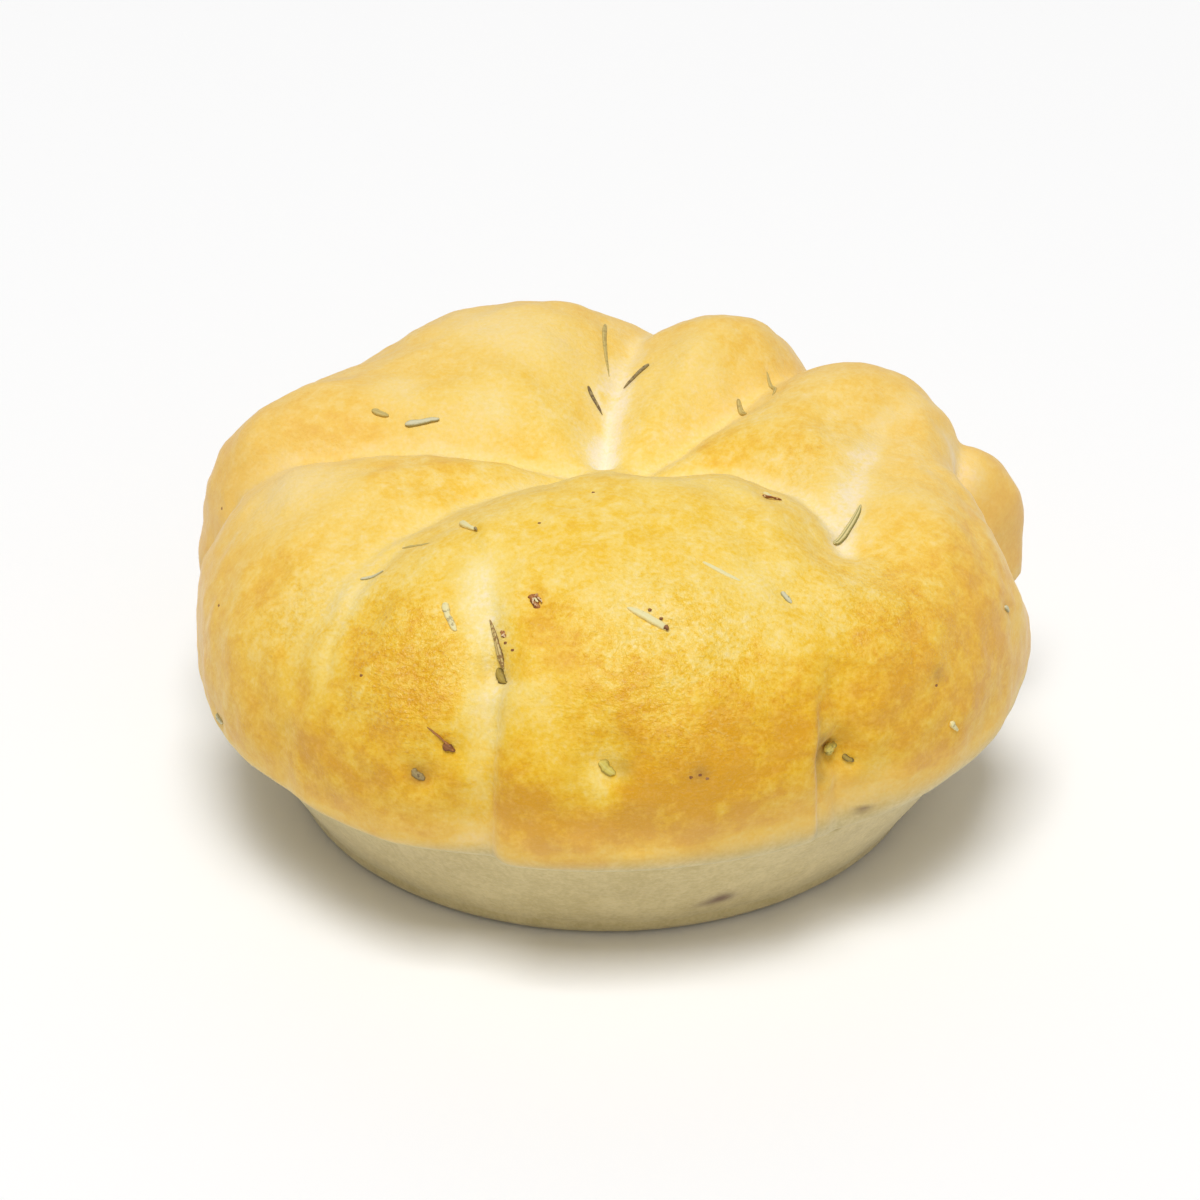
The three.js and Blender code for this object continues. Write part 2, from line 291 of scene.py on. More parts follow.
@dataclass(frozen=True)
class BunForm:
    """The bun's form: a crown of lobes and creases over a wall that a tapered tin shaped.

    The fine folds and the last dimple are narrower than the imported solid's triangles can show.
    """

    base_radius: float = 44.4
    base_edge: float = 2.5
    base_shift: float = -1.2
    wall_top_radius: float = 53.0
    wall_top: float = 17.5
    wall_belly: float = 0.4
    lip_radius: float = 56.3
    lip_height: float = 22.0
    lip_droop: float = 0.3
    crown_height: float = 49.5
    crown_power: float = 0.66
    section_steps: int = 4000
    centre_dip: float = 3.0
    centre_dip_radius: float = 14.0
    crease_blend: float = 3.0
    lip_waves: tuple[Wave, ...] = (Wave(1, 222, 1.0), Wave(2, 20, 0.3), Wave(3, 217, 0.9))
    lip_height_waves: tuple[Wave, ...] = (Wave(2, 320, 1.6),)
    creases: tuple[Crease, ...] = (
        Crease(((8, 100), (30, 92), (62, 77)), (6, 2.4), (13, 11), 0.8, (1.0, 0.7)),
        Crease(((6, 45), (24, 42), (62, 51)), (5, 6), (12, 10), 0.8, (0.4, 0.2)),
        Crease(((6, -20), (21, 15), (36, -32)), (5, 4.5), (12, 12), 0.8, (0.6, 0.8)),
        Crease(((37, -33), (31, 6), (46, 24)), (4.5, 0.3), (13, 9), 0.5, (0.9, 0.7)),
        Crease(((62, 34), (40, 15), (62, -1)), (3, 9), (8, 10), 0.9, (0.2, 0.2)),
        Crease(((7, 150), (29, 168), (62, 177)), (5, 3.5), (14, 9), 0.9, (0.5, 0.3)),
        Crease(((8, 190), (36, 208), (60, 222)), (5, 0.5), (13, 12), 0.7, (0.5, 0.4)),
        Crease(((36, 243), (46, 251), (61, 252)), (0.6, 2.6), (9, 9), 0.6, (0.3, 0.7), -0.45),
        Crease(((49, 304), (54, 302), (62, 302)), (0.3, 4.5), (8, 8), 0.8, (0.0, 0.0), 0.5),
        Crease(((30, 156), (38, 142), (60, 134)), (1, 1.2), (11, 12), 0.0, (0.2, 0.0)),
    )
    fine_folds: tuple[Crease, ...] = (
        Crease(((52.6, 300.3), (55, 298.2), (62, 296.8)), (0.3, 2.6), (1.4, 2.4), 0.9, (0.0, 0.0), 0.6),
        Crease(((48, 252.4), (54, 253.5), (62, 253.3)), (0.7, 1.0), (2.0, 1.8), 0.7, (0.2, 0.2), -0.5),
        Crease(((36, 218), (47, 221), (55, 227)), (0.5, 0.3), (1.6, 1.4), 0.6, (0.4, 0.4), 0.0),
    )
    lobes: tuple[Lobe, ...] = (
        Lobe((30, 272), 3.5, 20),
        Lobe((12, 262), 2.5, 13),
        Lobe((36, 236), 2.0, 13),
        Lobe((36, 203), 0.4, 15),
        Lobe((44, 152), 4.7, 19),
        Lobe((50, 168), 2.8, 9),
        Lobe((40, 109), 5.8, 17),
        Lobe((38, 65), 5.2, 13),
        Lobe((42, 32), 5.0, 13),
        Lobe((38, 340), 3.0, 18),
        Lobe((53, 18), 6.8, 8),
        Lobe((57, 8), -4, 6),
    )
    dimples: tuple[Spot, ...] = (
        Spot(0.18, 269, 4, 1.3),
        Spot(0.11, 266, 4, 0.7),
        Spot(0.33, 252, 3, 0.8),
        Spot(0.13, 244, 2.5, 0.9),
        Spot(0.05, 273, 4, 0.6),
        Spot(0.18, -5, 5, 4.0),
        Spot(0.1, 301.2, 3.0, 1.5),
    )
    relief: Noise = Noise(7, ((14, 1.0), (6.5, 0.8), (3, 0.3), (1.5, 0.1)))
    wall_relief: float = 0.3
    relief_rise: float = 2.0
    relief_centre: Place = (0.0, 0.0, 8.0)
    nudge: float = 1e-3

    @cached_property
    def _section_table(self) -> tuple[Array, Array]:
        """Lengths along the mean section of the crown and the angles that they belong to."""
        phi = np.linspace(0, np.pi / 2, self.section_steps + 1)
        across = self.lip_radius * np.maximum(np.cos(phi), 0) ** self.crown_power
        up = (self.crown_height - self.lip_height) * np.sin(phi) ** self.crown_power
        length = np.concatenate([[0], np.cumsum(np.hypot(np.diff(across), np.diff(up)))])
        return length, phi

    @property
    def section_length(self) -> float:
        """The length of the crown's mean section from the lip to the middle of the top."""
        return float(self._section_table[0][-1])

    def lip_radius_at(self, angle: Array) -> Array:
        """Give the lip's radius: a circle and its slow waves."""
        return self.lip_radius + sum(wave(angle) for wave in self.lip_waves)

    def plan_offset(self, x: Array, y: Array) -> Array:
        """Work out how far the skin stands out from the plain crown: lobes less creases.

        Args:
            x: Plan places across.
            y: Plan places up the plan.

        Returns:
            The sum of the lobes, less the creases blended by a power mean, the fine folds and the
            centre's dip.
        """
        pressed = sum(crease.depth_at(x, y) ** self.crease_blend for crease in self.creases)
        folded = sum(fold.depth_at(x, y) for fold in self.fine_folds)
        dip = self.centre_dip * np.exp(-(x * x + y * y) / self.centre_dip_radius ** 2)
        swollen = sum(lobe.rise_at(x, y) for lobe in self.lobes)
        return swollen - pressed ** (1 / self.crease_blend) - folded - dip

    def lip_height_at(self, angle: Array) -> Array:
        """Give the lip's height: its slow waves, lower under a lobe and higher at a crease."""
        radius = self.lip_radius_at(angle)
        offset = self.plan_offset(radius * np.cos(angle), radius * np.sin(angle))
        waves = sum(wave(angle) for wave in self.lip_height_waves)
        return self.lip_height + waves - self.lip_droop * offset

    def plain_radius(self, level: Array, angle: Array) -> Array:
        """Give the plain crown's radius at a level, without lobes and creases."""
        phi = np.interp(level * self.section_length, *self._section_table)
        return self.lip_radius_at(angle) * np.maximum(np.cos(phi), 0) ** self.crown_power

    def skin_gap(self, level: Array, angle: Array, at: Spot) -> tuple[Array, Array]:
        """Measure from a spot over the skin: across, along the lip, and up, to the top's middle."""
        turn = (angle - np.radians(at.bearing) + np.pi) % (2 * np.pi) - np.pi
        return turn * self.plain_radius(level, angle), (level - at.level) * self.section_length

    def spots_at(self, spots: Sequence[Spot], level: Array, angle: Array) -> Array:
        """Add up round spots, each a bell curve of the distance over the skin.

        Args:
            spots: The spots with their strengths.
            level: Levels of the places.
            angle: Angles of the places, in radians.

        Returns:
            The spots' total at each place.
        """
        total = np.zeros(np.broadcast(level, angle).shape)
        for spot in spots:
            across, up = self.skin_gap(level, angle, spot)
            total += spot.strength * np.exp(-(across ** 2 + up ** 2) / spot.size ** 2)
        return total

    def crown(self, level: Array, angle: Array) -> Array:
        """Give points of the crown: the plain section moved along its normal.

        The plain section is a superellipse, lip radius times cos^p out and the rise times sin^p
        up. Its normal goes as the rise times cos^(2-p) out and the lip radius times sin^(2-p) up.

        Args:
            level: Levels of the places.
            angle: Angles of the places, in radians.

        Returns:
            Points in space, one row each.
        """
        phi = np.interp(level * self.section_length, *self._section_table)
        cosine, sine = np.maximum(np.cos(phi), 0), np.sin(phi)
        lip, foot = self.lip_radius_at(angle), self.lip_height_at(angle)
        radius = lip * cosine ** self.crown_power
        height = lerp(foot, self.crown_height, sine ** self.crown_power)
        out = (self.crown_height - foot) * cosine ** (2 - self.crown_power)
        up = lip * sine ** (2 - self.crown_power)
        offset = self.plan_offset(radius * np.cos(angle), radius * np.sin(angle))
        offset = (offset - self.spots_at(self.dimples, level, angle)) / np.hypot(out, up)
        radius = radius + out * offset
        return np.stack([radius * np.cos(angle), radius * np.sin(angle), height + up * offset], -1)

    def under_lip(self, share: Array, angle: Array) -> Array:
        """Give points of the lip's rounded underside, a quarter ellipse from the wall to the lip."""
        quarter = share * np.pi / 2
        plain = lerp(self.wall_top_radius, self.lip_radius_at(angle), np.sin(quarter))
        offset = self.plan_offset(plain * np.cos(angle), plain * np.sin(angle))
        out = plain + offset * np.sqrt(share)
        height = lerp(self.lip_height_at(angle), self.wall_top, np.cos(quarter))
        return np.stack([out * np.cos(angle), out * np.sin(angle), height], -1)

    def tin_side(self, radius: Array, height: Array, angle: Array) -> Array:
        """Give points of circles whose centres move onto the crown's axis with height."""
        shift = self.base_shift * (1 - height / self.wall_top)
        across = radius * np.cos(angle) + shift
        return np.stack(np.broadcast_arrays(across, radius * np.sin(angle), height), -1)

    def wall(self, share: Array, angle: Array) -> Array:
        """Give points of the wall by the share of its height: a straight taper with a belly."""
        belly = self.wall_belly * np.sin(np.pi * share)
        radius = lerp(self.base_radius, self.wall_top_radius, share) + belly
        return self.tin_side(radius, lerp(self.base_edge, self.wall_top, share), angle)

    def base_rim(self, share: Array, angle: Array) -> Array:
        """Give points of the base's rounded edge, a quarter circle from the flat base up."""
        quarter = share * np.pi / 2
        radius = self.base_radius - self.base_edge * (1 - np.sin(quarter))
        return self.tin_side(radius, self.base_edge * (1 - np.cos(quarter)), angle)

    def uneven(self, points: Array) -> Array:
        """Move points out from the bun's middle by the relief, less on the wall, not at the base."""
        height = points[..., 2]
        crown = smooth_step(self.wall_top, self.lip_height + self.relief_rise, height)
        weight = lerp(self.wall_relief, 1, crown) * smooth_step(0, self.base_edge, height)
        out = unit(points - np.array(self.relief_centre))
        return points + out * (weight * self.relief(points))[..., None]

    def skin_frame(self, level: Array, angle: Array) -> tuple[Array, Array, Array, Array]:
        """Find the skin and its directions at places of the crown.

        Args:
            level: Levels of the places.
            angle: Angles of the places, in radians.

        Returns:
            Points on the skin, its outward normals, and directions along the lip and to the top.
        """
        here = self.crown(level, angle)
        east = unit(self.crown(level, angle + self.nudge) - here)
        north = unit(self.crown(level + self.nudge, angle) - here)
        return self.uneven(here), unit(np.cross(east, north)), east, north


# Shader maths

class Signal:
    """A socket's value, which Python operators combine through Math nodes."""

    def __init__(self, graph: "Graph", socket: bpy.types.NodeSocket) -> None:
        """Keep the socket and its graph."""
        self.graph = graph
        self.socket = socket

    def _math(self, operation: str, first: "Term", second: "Term") -> "Signal":
        """Add a Math node on two values."""
        return self.graph.node("ShaderNodeMath", {"operation": operation}, {0: first, 1: second})

    def __add__(self, other: "Term") -> "Signal":
        """Add a value."""
        return self._math("ADD", self, other)

    def __radd__(self, other: "Term") -> "Signal":
        """Be added to a value."""
        return self._math("ADD", other, self)

    def __sub__(self, other: "Term") -> "Signal":
        """Take a value away."""
        return self._math("SUBTRACT", self, other)

    def __rsub__(self, other: "Term") -> "Signal":
        """Be taken away from a value."""
        return self._math("SUBTRACT", other, self)

    def __mul__(self, other: "Term") -> "Signal":
        """Multiply by a value."""
        return self._math("MULTIPLY", self, other)

    def __rmul__(self, other: "Term") -> "Signal":
        """Multiply a value."""
        return self._math("MULTIPLY", other, self)

    def __abs__(self) -> "Signal":
        """Give the size without the sign."""
        return self._math("ABSOLUTE", self, 0.0)

    def step(self, low: float, high: float) -> "Signal":
        """Rise from 0 at the low value to 1 at the high one along an S curve."""
        settings = {"interpolation_type": "SMOOTHSTEP"}
        inputs = {"Value": self, "From Min": low, "From Max": high}
        return self.graph.node("ShaderNodeMapRange", settings, inputs)


Term = Union[Signal, float, Sequence[float]]


@dataclass(frozen=True)
class Grain:
    """How a noise looks: the grain size in millimetres, and how many finer layers, how strong.

    Flatness is how many times shorter the grains are in height than across.
    """

    size: float
    detail: float
    roughness: float
    flatness: float = 1.0


class Graph:
    """The node graph of one material."""

    def __init__(self, name: str) -> None:
        """Start an empty material of that name."""
        self.material = bpy.data.materials.new(name)
        self.material.use_nodes = True
        self.tree = self.material.node_tree
        self.tree.nodes.clear()

    def node(
        self,
        kind: str,
        settings: Mapping[str, Any],
        inputs: Mapping[Key, Term],
        output: Key = 0,
    ) -> Signal:
        """Add a node.

        Args:
            kind: The node's type.
            settings: Its properties, which are set first; stops are those of a colour ramp.
            inputs: Values or links for its sockets, by name or number.
            output: The socket to hand on.

        Returns:
            The output socket, or none of a node that has no outputs.
        """
        made = self.tree.nodes.new(kind)
        for name, value in settings.items():
            if name == "stops":
                self._set_stops(made.color_ramp, value)
            else:
                setattr(made, name, value)
        for key, value in inputs.items():
            if isinstance(value, Signal):
                self.tree.links.new(value.socket, made.inputs[key])
            else:
                made.inputs[key].default_value = value
        return Signal(self, made.outputs[output] if made.outputs else None)

    @staticmethod
    def _set_stops(ramp: bpy.types.ColorRamp, stops: Sequence[tuple[float, Colour]]) -> None:
        """Give a colour ramp its stops."""
        while len(ramp.elements) < len(stops):
            ramp.elements.new(1.0)
        for element, (position, colour) in zip(ramp.elements, stops):
            element.position = position
            element.color = (*colour, 1.0)

    def mark(self, name: str) -> Signal:
        """Read one of the piece's own named values."""
        return self.node("ShaderNodeAttribute", {"attribute_name": name}, {}, "Fac")

    def noise(self, grain: Grain) -> Signal:
        """Add noise on the object's own coordinates, about 0 on average.

        Args:
            grain: How the noise looks.

        Returns:
            The noise, mostly between -0.3 and 0.3.
        """
        place = self.node("ShaderNodeTexCoord", {}, {}, "Object")
        across = 1 / (grain.size * METRES)
        scales = {0: place, 1: (across, across, across * grain.flatness)}
        place = self.node("ShaderNodeVectorMath", {"operation": "MULTIPLY"}, scales)
        inputs = {"Vector": place, "Scale": 1.0, "Detail": grain.detail, "Roughness": grain.roughness}
        return self.node("ShaderNodeTexNoise", {}, inputs, "Fac") - 0.5

    def ramp(self, value: Signal, stops: Sequence[tuple[float, Colour]]) -> Signal:
        """Turn a value into a colour by a ramp."""
        return self.node("ShaderNodeValToRGB", {"stops": stops}, {"Fac": value}, "Color")

    def mix(self, share: Term, first: Term, second: Term) -> Signal:
        """Mix two colours by a share."""
        inputs = dict(zip(MIX_INPUTS, (share, self._rgba(first), self._rgba(second))))
        return self.node("ShaderNodeMix", {"data_type": "RGBA"}, inputs, MIX_OUTPUT)

    @staticmethod
    def _rgba(colour: Term) -> Term:
        """Give a plain colour its alpha."""
        return colour if isinstance(colour, Signal) else (*colour, 1.0)

    def bump(self, height: Signal, distance: float = 1.0) -> Signal:
        """Turn a height into a surface normal, where a height of 1 is a distance in millimetres."""
        inputs = {"Height": height, "Distance": distance * METRES}
        return self.node("ShaderNodeBump", {}, inputs, "Normal")

    def surface(self, inputs: Mapping[Key, Term]) -> bpy.types.Material:
        """Finish the material with a Principled shader and give it back."""
        shader = self.node("ShaderNodeBsdfPrincipled", {}, inputs, "BSDF")
        self.node("ShaderNodeOutputMaterial", {}, {"Surface": shader})
        return self.material


# Finishes

@dataclass(frozen=True)
class CrustFinish:
    """Baked crust: cream where the dough was shut in, then golden and amber with the heat.

    Patches of amber and of cream have edges that noise breaks up; the broad cream patches on the
    tops are partly painted sheen. A pale bloom lies where the bake is weaker. Fine wrinkles in an oily
    skin catch glints, and more glints are painted in as pale flecks and paler wrinkle ridges. The peach
    tone is partly the crust's own and partly painted sheen, the wall's colour on the lip's underside is
    partly painted shade, and the stain colour gives real stains and painted shade in the folds. An
    edge is where a patch starts and where it is full. What is called dry is the share that is left
    where there is no oil.
    """

    bakes: tuple[tuple[float, Colour], ...] = (
        (0.0, (0.95, 0.87, 0.66)),
        (0.2, (0.945, 0.772, 0.315)),
        (0.4, (0.935, 0.678, 0.145)),
        (0.6, (0.905, 0.568, 0.035)),
        (0.8, (0.845, 0.463, 0.006)),
        (1.0, (0.765, 0.367, 0.003)),
    )
    wall: Colour = (0.73, 0.60, 0.30)
    wall_shade: Colour = (0.60, 0.48, 0.21)
    # Dark colour for real stains and for painted shade in the folds
    stain_and_fold_shade: Colour = (0.20, 0.11, 0.06)
    # Peach: partly the crust's own paler tone on the sides and back, partly painted sheen, the pale veil
    # of rims seen edge-on
    peach_and_sheen: Colour = (0.92, 0.57, 0.20)
    peach_and_sheen_share: float = 0.48
    bloom: Colour = (0.92, 0.60, 0.26)
    bloom_share: float = 0.18
    # Painted glints: pale flecks on the wrinkles and pores stand in for the glints of the oily skin
    fleck: Colour = (0.96, 0.82, 0.34)
    painted_glint_share: float = 0.27
    clouds: Grain = Grain(5.5, 5.0, 0.65)
    wisps: Grain = Grain(3.2, 4.0, 0.6, 1.8)
    mottle: Grain = Grain(1.9, 4.0, 0.7)
    wrinkles: Grain = Grain(0.9, 3.0, 0.6, 2.4)
    speckle: Grain = Grain(0.6, 2.0, 0.5)
    pores: Grain = Grain(0.35, 2.0, 0.6)
    amber_edge: Span = (0.05, 1.1)
    amber_clouds: float = 1.3
    amber_wisps: float = 1.3
    cream_edge: Span = (0.1, 0.95)
    cream_clouds: float = 0.8
    cream_mottle: float = 1.2
    oil_edge: Span = (0.1, 0.8)
    oil_mottle: float = 0.8
    bloom_edge: Span = (-0.4, 0.15)
    bloom_pores: float = 0.6
    # Where the painted glints start and are full, and what the speckle and pores add to them
    fleck_edge: Span = (0.0, 0.3)
    painted_glint_speckle: float = 0.6
    painted_glint_pores: float = 0.8
    wall_shade_edge: Span = (-0.4, 0.4)
    dry_speckle: float = 0.5
    dry_painted_glints: float = 0.3
    dry_relief: float = 0.4
    amber_bake: float = 0.42
    cream_bake: float = 0.38
    cloud_bake: float = 0.4
    mottle_bake: float = 0.75
    speckle_bake: float = 0.8
    wrinkle_tone_and_glint: float = 0.4
    wrinkle_height: float = 0.16
    pore_height: float = 0.18
    matte: float = 0.6
    oily: float = 0.26
    specular: float = 0.33
    sheen: float = 0.3
    sheen_roughness: float = 0.4

    def material(self) -> bpy.types.Material:
        """Build the crust's material from the values that the bun put on its skin."""
        graph = Graph("crust")
        wall = graph.mark("wall")
        clouds = graph.noise(self.clouds)
        mottle = graph.noise(self.mottle)
        speckle = graph.noise(self.speckle)
        wrinkles = graph.noise(self.wrinkles)
        pores = graph.noise(self.pores)
        wisps = graph.noise(self.wisps)
        amber = graph.mark("amber") + clouds * self.amber_clouds + wisps * self.amber_wisps
        amber = amber.step(*self.amber_edge)
        cream = graph.mark("cream") + clouds * self.cream_clouds + mottle * self.cream_mottle
        cream = cream.step(*self.cream_edge)
        oil = (graph.mark("oil") + mottle * self.oil_mottle).step(*self.oil_edge)
        oil = oil * (1 - cream) * (1 - wall)

        bake = graph.mark("bake") + amber * self.amber_bake - cream * self.cream_bake
        bake = bake + clouds * self.cloud_bake + mottle * self.mottle_bake
        bake = bake + speckle * lerp(self.dry_speckle, 1.0, oil) * self.speckle_bake
        # Paler wrinkle ridges and more golden hollows where oily: partly streaky tone, partly painted
        # glints on the ridges
        bake = bake - wrinkles * oil * self.wrinkle_tone_and_glint
        colour = graph.ramp(bake, self.bakes)
        # Peach low down away from the front: partly the crust's tone, partly painted sheen
        colour = graph.mix(graph.mark("peach_and_sheen") * self.peach_and_sheen_share, colour, self.peach_and_sheen)
        bloom = 1 - (mottle + speckle + pores * self.bloom_pores).step(*self.bloom_edge)
        colour = graph.mix(bloom * self.bloom_share, colour, self.bloom)
        # Painted glints: pale flecks where wrinkles, speckle and pores rise, mostly where there is oil
        flecks = wrinkles + speckle * self.painted_glint_speckle + pores * self.painted_glint_pores
        flecks = flecks.step(*self.fleck_edge) * lerp(self.dry_painted_glints, 1.0, oil)
        colour = graph.mix(flecks * self.painted_glint_share, colour, self.fleck)
        shade = (clouds + mottle + speckle).step(*self.wall_shade_edge)
        # The wall's colour, mottled by noise, which also runs up the lip's underside as painted shade
        # under its overhang
        colour = graph.mix(wall, colour, graph.mix(shade, self.wall, self.wall_shade))
        # Stains, and painted shade in the folds
        colour = graph.mix(graph.mark("stain_and_fold_shade"), colour, self.stain_and_fold_shade)
        relief = wrinkles * self.wrinkle_height + pores * self.pore_height
        return graph.surface({
            "Base Color": colour,
            "Roughness": lerp(self.matte, self.oily, oil),
            "Specular IOR Level": self.specular,
            "Sheen Weight": self.sheen,
            "Sheen Roughness": self.sheen_roughness,
            "Normal": graph.bump(relief * lerp(self.dry_relief, 1.0, oil)),
        })


@dataclass(frozen=True)
class HerbFinish:
    """A bit of rosemary: its face, its margins, its middle groove and the flecks on it."""

    face: Colour
    margin: Colour
    groove: Colour
    fleck: Colour
    grain: Grain = Grain(0.35, 2.0, 0.6)
    margin_edge: Span = (0.5, 0.95)
    margin_grain: float = 0.5
    groove_edge: Span = (0.08, 0.3)
    spots: Grain = Grain(0.5, 2.0, 0.5)
    fleck_edge: Span = (0.08, 0.18)
    fleck_tone: float = 0.1
    roughness: float = 0.6
    rough_grain: float = 0.3
    grain_height: float = 0.08

    def material(self, name: str) -> bpy.types.Material:
        """Build the material from the piece's across and tone values."""
        graph = Graph(name)
        across = abs(graph.mark("across"))
        grain = graph.noise(self.grain)
        margin = (across + grain * self.margin_grain).step(*self.margin_edge)
        face = graph.mix(margin, self.face, self.margin)
        face = graph.mix(1 - across.step(*self.groove_edge), face, self.groove)
        flecks = graph.noise(self.spots) + graph.mark("tone") * self.fleck_tone
        return graph.surface({
            "Base Color": graph.mix(flecks.step(*self.fleck_edge), face, self.fleck),
            "Roughness": self.roughness + grain * self.rough_grain,
            "Normal": graph.bump(grain, self.grain_height),
        })


class Herb(Enum):
    """What the oven made of a bit of rosemary."""

    GREY = "rosemary_grey_needles"
    FAINT = "rosemary_sunken_needles"
    GREEN = "rosemary_green_needles"
    BROWN = "rosemary_brown_needles"
    PALE = "rosemary_pale_needles"
    DARK = "rosemary_dark_needles"
    OLIVE = "rosemary_olive_bits"
    BRIGHT = "rosemary_bright_bits"
    RUST = "rosemary_rust_bits"
    SCORCHED = "rosemary_scorched_bits"


HERB_FINISHES: dict[Herb, HerbFinish] = {
    Herb.GREY: HerbFinish(
        (0.64, 0.60, 0.38), (0.40, 0.35, 0.16), (0.68, 0.64, 0.42), (0.34, 0.30, 0.16),
    ),
    Herb.FAINT: HerbFinish(
        (0.60, 0.47, 0.15), (0.56, 0.41, 0.11), (0.50, 0.38, 0.12), (0.46, 0.34, 0.10),
    ),
    Herb.GREEN: HerbFinish(
        (0.74, 0.62, 0.27), (0.29, 0.26, 0.08), (0.36, 0.32, 0.11), (0.26, 0.22, 0.07),
    ),
    Herb.BROWN: HerbFinish(
        (0.72, 0.54, 0.21), (0.16, 0.09, 0.02), (0.42, 0.28, 0.08), (0.32, 0.18, 0.05),
    ),
    Herb.PALE: HerbFinish(
        (0.84, 0.75, 0.38), (0.86, 0.69, 0.26), (0.80, 0.72, 0.38), (0.50, 0.42, 0.20),
    ),
    Herb.DARK: HerbFinish(
        (0.35, 0.26, 0.10), (0.25, 0.18, 0.06), (0.40, 0.30, 0.13), (0.18, 0.12, 0.05),
    ),
    Herb.OLIVE: HerbFinish(
        (0.40, 0.28, 0.045), (0.15, 0.10, 0.015), (0.46, 0.33, 0.06), (0.17, 0.11, 0.02),
    ),
    Herb.BRIGHT: HerbFinish(
        (0.70, 0.56, 0.10), (0.44, 0.33, 0.05), (0.74, 0.62, 0.16), (0.36, 0.28, 0.05),
    ),
    Herb.RUST: HerbFinish(
        (0.42, 0.15, 0.03), (0.26, 0.08, 0.015), (0.50, 0.23, 0.06), (0.80, 0.60, 0.34),
    ),
    Herb.SCORCHED: HerbFinish(
        (0.26, 0.09, 0.022), (0.14, 0.045, 0.012), (0.30, 0.12, 0.03), (0.36, 0.17, 0.06),
    ),
}


# Rosemary

@dataclass(frozen=True)
class Sprig:
    """A needle or bit of rosemary on the crown.

    A turn of 0 lies along the lip, counter-clockwise, and 90 points at the middle of the top. The
    lift is from the skin to the sprig's middle, ragged is how uneven its outline is, tip how much
    narrower its far end, and bend how far it curves aside, as shares of its width and length.
    """

    herb: Herb
    level: float
    bearing: float
    turn: float
    length: float
    width: float = 0.9
    lift: float = -0.15
    ragged: float = 0.1
    tip: float = 0.3
    bend: float = 0.03

    @property
    def place(self) -> Spot:
        """The sprig's middle as a spot on the skin."""
        return Spot(self.level, self.bearing, self.width, 1.0)


